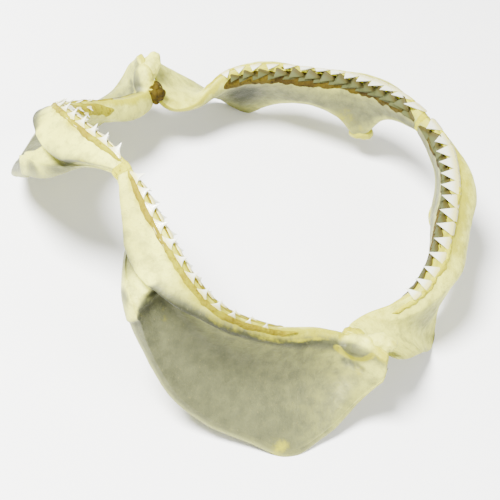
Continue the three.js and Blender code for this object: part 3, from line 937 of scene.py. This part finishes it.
def blade(jaw, kind, sink):
    """Rings of one tooth: (levels, around, 3) as (back, rise, lip), in metres."""
    v = np.linspace(0, 1, LEVELS)
    front, hind = EDGES[jaw](v, kind["lean"] / kind["width"])
    angle = np.linspace(0, 2 * math.pi, AROUND, endpoint=False)
    middle = (front + hind)[:, None] / 2
    half = np.maximum(hind - front, THINNEST)[:, None] / 2
    thick = kind["thick"] * (TIP_THICKNESS + (1 - TIP_THICKNESS) * (1 - v) ** 0.8)[:, None]
    domed = np.where(np.sin(angle) > 0, LIP_DOME, TONGUE_DOME) * np.sin(angle)
    back = (middle + half * np.cos(angle)) * kind["width"]
    lip = domed * thick * DOME_SHARE
    bend = kind["bend"] * v**2
    rise = np.repeat(v[:, None] * kind["height"], AROUND, axis=1)
    rings = np.stack([back, rise, lip - bend[:, None]], axis=-1)
    root = rings[:1] * ROOT_SHRINK - np.array([0, sink, 0])
    return (np.concatenate([root, rings]) - np.array([0, kind["below"], 0])) * MM


UPPER_TOOTH = {"width": 15.2, "height": 18.2, "thick": 3.8, "lean": 4.8, "bend": 0.0, "below": 4.7}
LOWER_TOOTH = {"width": 13.0, "height": 8.6, "thick": 3.2, "lean": 1.4, "bend": -0.5, "below": 0.0}
TOOTH = {"upper": UPPER_TOOTH, "lower": LOWER_TOOTH}
print("one tooth has", blade("upper", UPPER_TOOTH, TOOTH_SINK).shape[0] * AROUND, "points")

# %% [markdown]
# ## Rows of teeth
#
# The front row stands on the crest, leaning in over the mouth. Behind it, on the tongue side, the
# spare teeth hang point down and wait their turn, each between two of the row before. All are set
# out by one loop: it walks along the crest, makes the teeth smaller towards the joint, and gives
# each a small seeded turn of its own, because no two real ones are quite alike.

# %% Set out the front rows
ROW = {
    "upper": {"count": 14, "first": 0.035, "last": 0.665, "smallest": 0.55, "inward": 58, "outset": 1.2},
    "lower": {"count": 12, "first": 0.046, "last": 0.57, "smallest": 0.5, "inward": 24, "outset": 0.2},
}
TURN_SPREAD, SIZE_SPREAD = 1.6, 0.02
FRONT_SEED = {"upper": 21, "lower": 22}


def row_places(jaw, count, shift=0.0):
    """Where along the crest the teeth of a row stand, and how large they are."""
    row = ROW[jaw]
    share = (np.arange(count) + shift) / (row["count"] - 1)
    t = row["first"] + (row["last"] - row["first"]) * share
    return t, 1 + (row["smallest"] - 1) * share**2.2


def tooth_mesh(name, teeth, finish):
    """Joins rings of many teeth into one object that knows how high on its tooth each point is."""
    points, faces, heights = [], [], []
    for rings in teeth:
        faces += ring_faces(rings.shape[0], AROUND, len(points) * rings.shape[0] * AROUND)
        points.append(rings.reshape(-1, 3))
        heights.append(np.repeat(np.clip(np.arange(-1, LEVELS) / (LEVELS - 1), 0, 1), AROUND))
    made = mesh_object(name, inside_box(np.concatenate(points)), faces, finish)
    keep_values(made, rise=np.concatenate(heights))
    return made


def front_tooth(jaw, t, size, wobble):
    row = ROW[jaw]
    crest, back, _, out = (values[0] for values in directions(jaw, np.array([t]))[:4])
    tilt = math.radians(row["inward"] + wobble[0])
    rise = unit(np.array([0, 0, -1]) * math.cos(tilt) - out * math.sin(tilt))
    rise = unit(rise - back * rise.dot(back))
    rise = unit(rise + back * math.tan(math.radians(wobble[1])))
    back = unit(back - rise * back.dot(rise))
    lip = np.cross(back, rise)
    lip = lip if lip.dot(out) > 0 else -lip
    axes = turned(jaw, np.stack([back, rise, lip]))
    base = placed(jaw, crest) + turned(jaw, out) * row["outset"] * MM
    return base + (blade(jaw, TOOTH[jaw], TOOTH_SINK) * size) @ axes


for jaw in JAWS:
    chance = np.random.default_rng(FRONT_SEED[jaw])
    count = ROW[jaw]["count"]
    for side_name, side in SIDES.items():
        wobbles = chance.normal(0, TURN_SPREAD, (count, 2))
        sizes = chance.normal(1, SIZE_SPREAD, count)
        places = zip(*row_places(jaw, count), sizes, wobbles)
        teeth = [front_tooth(jaw, t, size * own, wobble) for t, size, own, wobble in places]
        tooth_mesh(f"teeth_{jaw}_{side_name}", [mirrored(rings, side) for rings in teeth], ENAMEL)
print("front teeth", sum(2 * ROW[jaw]["count"] for jaw in JAWS))

# %% [markdown]
# ## Spare teeth
#
# They lie against the tongue side of the cartilage, so they are placed on the skin itself: at a
# distance along the ring from the crest, with the skin's own normal as their face and its way down
# as their rise. The upper ones also lean along the row, so that each tip shows between two teeth.
# Down, lift and height are millimetres, and tilt and turn are degrees.

# %% Hang the spare rows
SPARES = {
    "upper": [
        {"down": 3.9, "lift": 0.8, "tilt": 6, "turn": 32, "height": 10.5},
        {"down": 7.4, "lift": 0.3, "tilt": 3, "turn": 28, "height": 7.5},
    ],
    "lower": [
        {"down": 6.5, "lift": 0.8, "tilt": 12, "turn": 8, "height": 7.4},
        {"down": 11.0, "lift": 0.3, "tilt": 8, "turn": 8, "height": 6.9},
    ],
}
SPARE_SINK = 1.5
SPARE_TURN_SPREAD = 3
SPARE_SEED = {"upper": 31, "lower": 32}
# The upper spare teeth take the enamel that is darkened with painted shade.
SPARE_FINISH = {"upper": SHADED_SPARE_ENAMEL, "lower": ENAMEL}


def across_ring(field, ring_arc, at):
    """Reads a field of 3-D values on one ring at the given distances from the crest."""
    order = np.argsort(ring_arc)
    return np.stack([np.interp(at, ring_arc[order], field[order, k]) for k in range(3)], axis=-1)


def on_skin(jaw, t, arc):
    """Point, outward normal and way away from the crest, at a signed distance from the crest."""
    i = int(round(np.clip(t, 0, 1) * (RINGS - 1)))
    ring, ring_arc = SKIN[jaw][i], ARC[jaw][i]
    step = math.copysign(1.0 * MM, arc)
    away = across_ring(ring, ring_arc, arc + step) - across_ring(ring, ring_arc, arc - step)
    normal = across_ring(NORMAL[jaw][i], ring_arc, arc)
    return across_ring(ring, ring_arc, arc), unit(normal), unit(away)


def spare_tooth(jaw, t, size, row, wobble):
    arc = -row["down"] * MM
    point, normal, down = on_skin(jaw, t, arc)
    ahead = on_skin(jaw, t + STEP, arc)[0] - on_skin(jaw, t - STEP, arc)[0]
    tilt = math.radians(row["tilt"] + wobble[0])
    rise = unit(down * math.cos(tilt) + normal * math.sin(tilt))
    back = unit(ahead - rise * ahead.dot(rise))
    turn = math.radians(row["turn"] + wobble[1])
    cos, sin = math.cos(turn), math.sin(turn)
    rise, back = rise * cos + back * sin, back * cos - rise * sin
    lip = unit(normal - rise * normal.dot(rise))
    rings = blade(jaw, TOOTH[jaw] | {"height": row["height"], "below": 0.0}, SPARE_SINK) * size
    return point + normal * row["lift"] * MM + rings @ np.stack([back, rise, lip])


for jaw in JAWS:
    chance = np.random.default_rng(SPARE_SEED[jaw])
    count = ROW[jaw]["count"] - 1
    for side_name, side in SIDES.items():
        teeth = []
        for row, shift in zip(SPARES[jaw], (0.5, 0.0)):
            for t, size in zip(*row_places(jaw, count, shift)):
                wobble = chance.normal(0, SPARE_TURN_SPREAD, 2)
                teeth.append(mirrored(spare_tooth(jaw, t, size, row, wobble), side))
        tooth_mesh(f"spare_teeth_{jaw}_{side_name}", teeth, SPARE_FINISH[jaw])
print("spare teeth", sum(4 * (ROW[jaw]["count"] - 1) for jaw in JAWS))

# %% [markdown]
# ## Bands of gum and flesh
#
# Dried gum lies over the cartilage as a raised band along the lip side of the tooth row, and
# another band, of gum below and of brown flesh above, fills the groove on the tongue side. Painting
# them would leave them flat. A band is built as a thin closed body over the skin, between two
# distances from the crest, with its edges sunk in and its top uneven.

# %% Lay a band over a skin
BAND_RINGS, ACROSS = 200, 14
BAND_TAPER, BAND_FADE = 0.07, 0.02
BAND_SINK, BAND_UNDER = 0.25, 1.2


def band(name, side, jaw, start, end, t_range, height, finish, slot, ragged, seed):
    """A raised band over the skin from start to end millimetres from the crest (tongue negative)."""
    t = np.linspace(*t_range, BAND_RINGS)
    place = t * (RINGS - 1)
    low = np.minimum(place.astype(int), RINGS - 2)
    f = (place - low)[:, None, None]
    skin = SKIN[jaw][low] * (1 - f) + SKIN[jaw][low + 1] * f
    normal = NORMAL[jaw][low] * (1 - f) + NORMAL[jaw][low + 1] * f
    from_end = np.minimum(t - t_range[0], t_range[1] - t)
    narrow = np.clip(from_end / BAND_TAPER, 0.02, 1) ** 0.6
    edge = ragged * uneven(skin[:, 0], 0.007, seed) + 0.5 * ragged * uneven(skin[:, 0], 0.0028, seed + 1)
    share = np.linspace(0, 1, ACROSS)
    tops, normals = [], []
    for i, ring_arc in enumerate(ARC[jaw][low]):
        grow = 1 + edge[i]
        width = 0.5 + (share - 0.5) * narrow[i]
        if start * end < 0:
            at = (start + (end - start) * width) * grow * MM
        else:
            at = (start + (end * grow - start) * width) * MM
        tops.append(across_ring(skin[i], ring_arc, at))
        normals.append(across_ring(normal[i], ring_arc, at))
    tops, normals = np.array(tops), unit(np.array(normals))
    crown = np.sin(math.pi * share) ** 1.15
    fade = np.clip(from_end / BAND_FADE, 0, 1)[:, None]
    lumps = 1 + 0.35 * uneven(tops, 0.006, seed + 2) + 0.25 * uneven(tops, 0.0025, seed + 3)
    lift = (height * crown * fade * lumps - BAND_SINK) * MM
    upper = tops + normals * lift[..., None]
    lower = tops - normals * BAND_UNDER * MM
    loops = np.concatenate([upper, lower[:, ::-1]], axis=1)
    points = inside_box(mirrored(loops, side)).reshape(-1, 3)
    return mesh_object(name, points, ring_faces(BAND_RINGS, 2 * ACROSS), finish)


BANDS = {
    "gum_upper": {
        "jaw": "upper", "start": 3.4, "end": 10.0, "t_range": (0.004, 0.77), "height": 1.5,
        "finish": GRISTLE, "slot": "gristle", "ragged": 0.25, "seed": 5,
    },
    "gum_lower": {
        "jaw": "lower", "start": -0.6, "end": 4.8, "t_range": (0.004, 0.68), "height": 1.5,
        "finish": GUM, "slot": "gristle", "ragged": 0.25, "seed": 9,
    },
    "groove_upper": {
        "jaw": "upper", "start": -1.0, "end": -18.0, "t_range": (0.01, 0.72), "height": 0.6,
        "finish": FLESH, "slot": "tissue", "ragged": 0.15, "seed": 13,
    },
    "groove_lower": {
        "jaw": "lower", "start": -1.5, "end": -15.0, "t_range": (0.01, 0.66), "height": 0.9,
        "finish": GUM, "slot": "gristle", "ragged": 0.15, "seed": 17,
    },
}
for (side_name, side), (name, row) in itertools.product(SIDES.items(), BANDS.items()):
    band(f"{name}_{side_name}", side, **row)
print("bands", len(SIDES) * len(BANDS))

# %% [markdown]
# ## The seams
#
# The halves of each jaw are tied by a pad of gristle, which bulges a little and is crossed by
# fibres. The pad could stay a plain slice, but it catches the light in front, so it is made again
# as a swollen ring with furrows, a little wider than the solid pad so that it meets both skins.

# %% Shape the seam pads
PAD_RINGS = 9
PAD_OVERLAP = 0.9 * MM
PAD_SWELL, PAD_SHRINK = 0.6 * MM, 0.75
PAD_FURROWS, FURROW_DEPTH = 9, 0.35 * MM


def seam_pad(jaw):
    low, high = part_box(f"{jaw}_seam")
    loop = loops_at(jaw, np.array([0.0]))[0]
    away = unit(loop - loop.mean(axis=0))
    furrow = FURROW_DEPTH * np.sin(PAD_FURROWS * np.arctan2(away[:, 2], away[:, 1]))[:, None]
    rings = []
    for k, x in enumerate(np.linspace(low.x - PAD_OVERLAP, high.x + PAD_OVERLAP, PAD_RINGS)):
        swell = math.sin(math.pi * (k + 0.5) / PAD_RINGS)
        ring = loop + away * (PAD_SWELL * (swell - PAD_SHRINK) + furrow * 0.5)
        ring[:, 0] = x
        rings.append(ring)
    points = inside_box(np.array(rings)).reshape(-1, 3)
    faces = ring_faces(PAD_RINGS, loop.shape[0])
    made = mesh_object(f"seam_gristle_{jaw}", points, faces, GRISTLE)
    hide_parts(f"{jaw}_seam")
    return made


for jaw in JAWS:
    made = seam_pad(jaw)
    print(made.name, "points", len(made.data.vertices))

# %% [markdown]
# ## The jaw joints
#
# Each upper cartilage ends in a ball that sits in a socket of the lower one. The capsule behind it
# has dried to a knuckle of gristle, and some flesh is left in the joint: a few pale lumps on the
# left, more and darker ones on the right. The blunt process over the palate has the same kind of
# shape, so it is made here too. A sphere from the menu would do for each, but a lumpy egg, rough in
# the way that the skins are, doesn't look added. The torn flesh is many small ones thrown together.

# %% Build the balls, the capsules, the processes and the torn flesh
POLE = 0.02
EGG_GRID, LUMP_GRID = (44, 52), (14, 18)


def lumpy_egg(name, middle, axes, radii, side, finish, slot, rough, seed, grid=EGG_GRID):
    lat = np.linspace(POLE, math.pi - POLE, grid[0])[:, None]
    lon = np.linspace(0, 2 * math.pi, grid[1], endpoint=False)[None]
    flat = np.sin(lat)
    ball = np.stack([flat * np.cos(lon), flat * np.sin(lon), np.cos(lat) + 0 * lon], axis=-1)
    points = middle + (ball * np.array(radii) * MM) @ axes
    lumps = uneven(points, 0.008, seed) + 0.5 * uneven(points, 0.003, seed)
    points = points + (ball @ axes) * (rough * MM * lumps)[..., None]
    points = inside_box(mirrored(points, side)).reshape(-1, 3)
    return mesh_object(name, points, ring_faces(*grid), finish)


def cartilage_egg(name, kind, side, slot, rough, seed, hollow, stain):
    made = lumpy_egg(name, *egg_axes(kind), kind["radii"], side, CARTILAGE, slot, rough, seed)
    zeros = np.zeros(len(made.data.vertices))
    keep_values(made, hollow=zeros + hollow, rim=zeros, stain=zeros + stain)
    return made


TORN_WAY, TORN_SPREAD = np.array([-0.57, -0.5, 0.65]), 0.95
TORN_SHIFT = np.array([3.6, 0, 1.6])
SMALLEST_LUMP = 2.2
FLESH_SEED = 51
FLESH_LEFT = {
    "left": {"lumps": 14, "out": 5.2, "largest": 3.6, "finish": GRISTLE},
    "right": {"lumps": 22, "out": 6.6, "largest": 4.8, "finish": FLESH},
}
ball_middle, ball_axes = egg_axes(BALL)
for side_name, side in SIDES.items():
    flesh = FLESH_LEFT[side_name]
    lumpy_egg(
        f"joint_ball_{side_name}", ball_middle, ball_axes, BALL["radii"], side, flesh["finish"],
        "cartilage", rough=0.6, seed=41,
    )
    capsule = cartilage_egg(
        f"capsule_{side_name}", CAPSULE, side, "gristle", rough=1.8, seed=43, hollow=0.2, stain=0.4,
    )
    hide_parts(f"joint_capsule_{side_name}")
    chance = np.random.default_rng(FLESH_SEED)
    for number in range(flesh["lumps"]):
        way = unit(TORN_WAY + chance.uniform(-TORN_SPREAD, TORN_SPREAD, 3))
        middle = ball_middle + (flesh["out"] * way - TORN_SHIFT) * MM
        radii = chance.uniform(SMALLEST_LUMP, flesh["largest"], 3)
        lumpy_egg(
            f"torn_flesh_{side_name}_{number}", middle, ball_axes, radii, side, flesh["finish"],
            "tissue", rough=0.8, seed=number, grid=LUMP_GRID,
        )
    cartilage_egg(
        f"process_{side_name}", PROCESS, side, "cartilage", rough=0.8, seed=47, hollow=0.3, stain=0.62,
    )
print("lumps of flesh in the joints", {name: row["lumps"] for name, row in FLESH_LEFT.items()})

# %% [markdown]
# ## Floor and light
#
# The jaws stand on a plain pale table under soft light. A wide key light, high up to the left of the
# camera's view, shows the roundness of the bars. A weaker one to its right keeps the hollows open,
# and a pale world fills the rest, so that no shadow is hard.

# %% Set the stage
FLOOR_HALF = 4.0
LIGHT_AIM = Vector((0, 0, 0.06))
WORLD_STRENGTH = 0.7


def pale_floor():
    f = Finish("pale_table")
    tone = f.mix(f.spread(f.noise(0.4, 2), 0.3, 0.7), colour(246, 246, 244), colour(242, 242, 240))
    normal = f.bump(f.noise(0.002, 2), 0.00005)
    return f.close(tone, 0.7, normal, Specular_IOR_Level=0.2)


corners = [(x * FLOOR_HALF, y * FLOOR_HALF, 0) for x, y in ((-1, -1), (1, -1), (1, 1), (-1, 1))]
floor_mesh = bpy.data.meshes.new("floor")
floor_mesh.from_pydata(corners, [], [[0, 1, 2, 3]])
floor_mesh.materials.append(pale_floor())
floor = bpy.data.objects.new("floor", floor_mesh)
bpy.context.scene.collection.objects.link(floor)
floor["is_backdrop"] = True


def soft_light(name, place, size, watts):
    lamp = bpy.data.lights.new(name, "AREA")
    lamp.shape = "DISK"
    lamp.size = size
    lamp.energy = watts
    made = bpy.data.objects.new(name, lamp)
    made.location = place
    made.rotation_mode = "QUATERNION"
    made.rotation_quaternion = (LIGHT_AIM - Vector(place)).to_track_quat("-Z", "Y")
    bpy.context.scene.collection.objects.link(made)


soft_light("key_light", place=(-0.35, -1.1, 2.0), size=0.8, watts=340)
soft_light("fill_light", place=(1.6, 0.4, 1.1), size=1.6, watts=40)
world = bpy.data.worlds.new("pale_room")
world.use_nodes = True
background = world.node_tree.nodes["Background"]
background.inputs["Color"].default_value = colour(250, 250, 252)
background.inputs["Strength"].default_value = WORLD_STRENGTH
bpy.context.scene.world = world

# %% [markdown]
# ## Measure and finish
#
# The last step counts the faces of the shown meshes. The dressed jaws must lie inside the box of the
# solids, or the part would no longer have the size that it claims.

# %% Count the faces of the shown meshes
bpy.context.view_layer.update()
faces = sum(len(o.data.polygons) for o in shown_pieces() if o.type == "MESH")
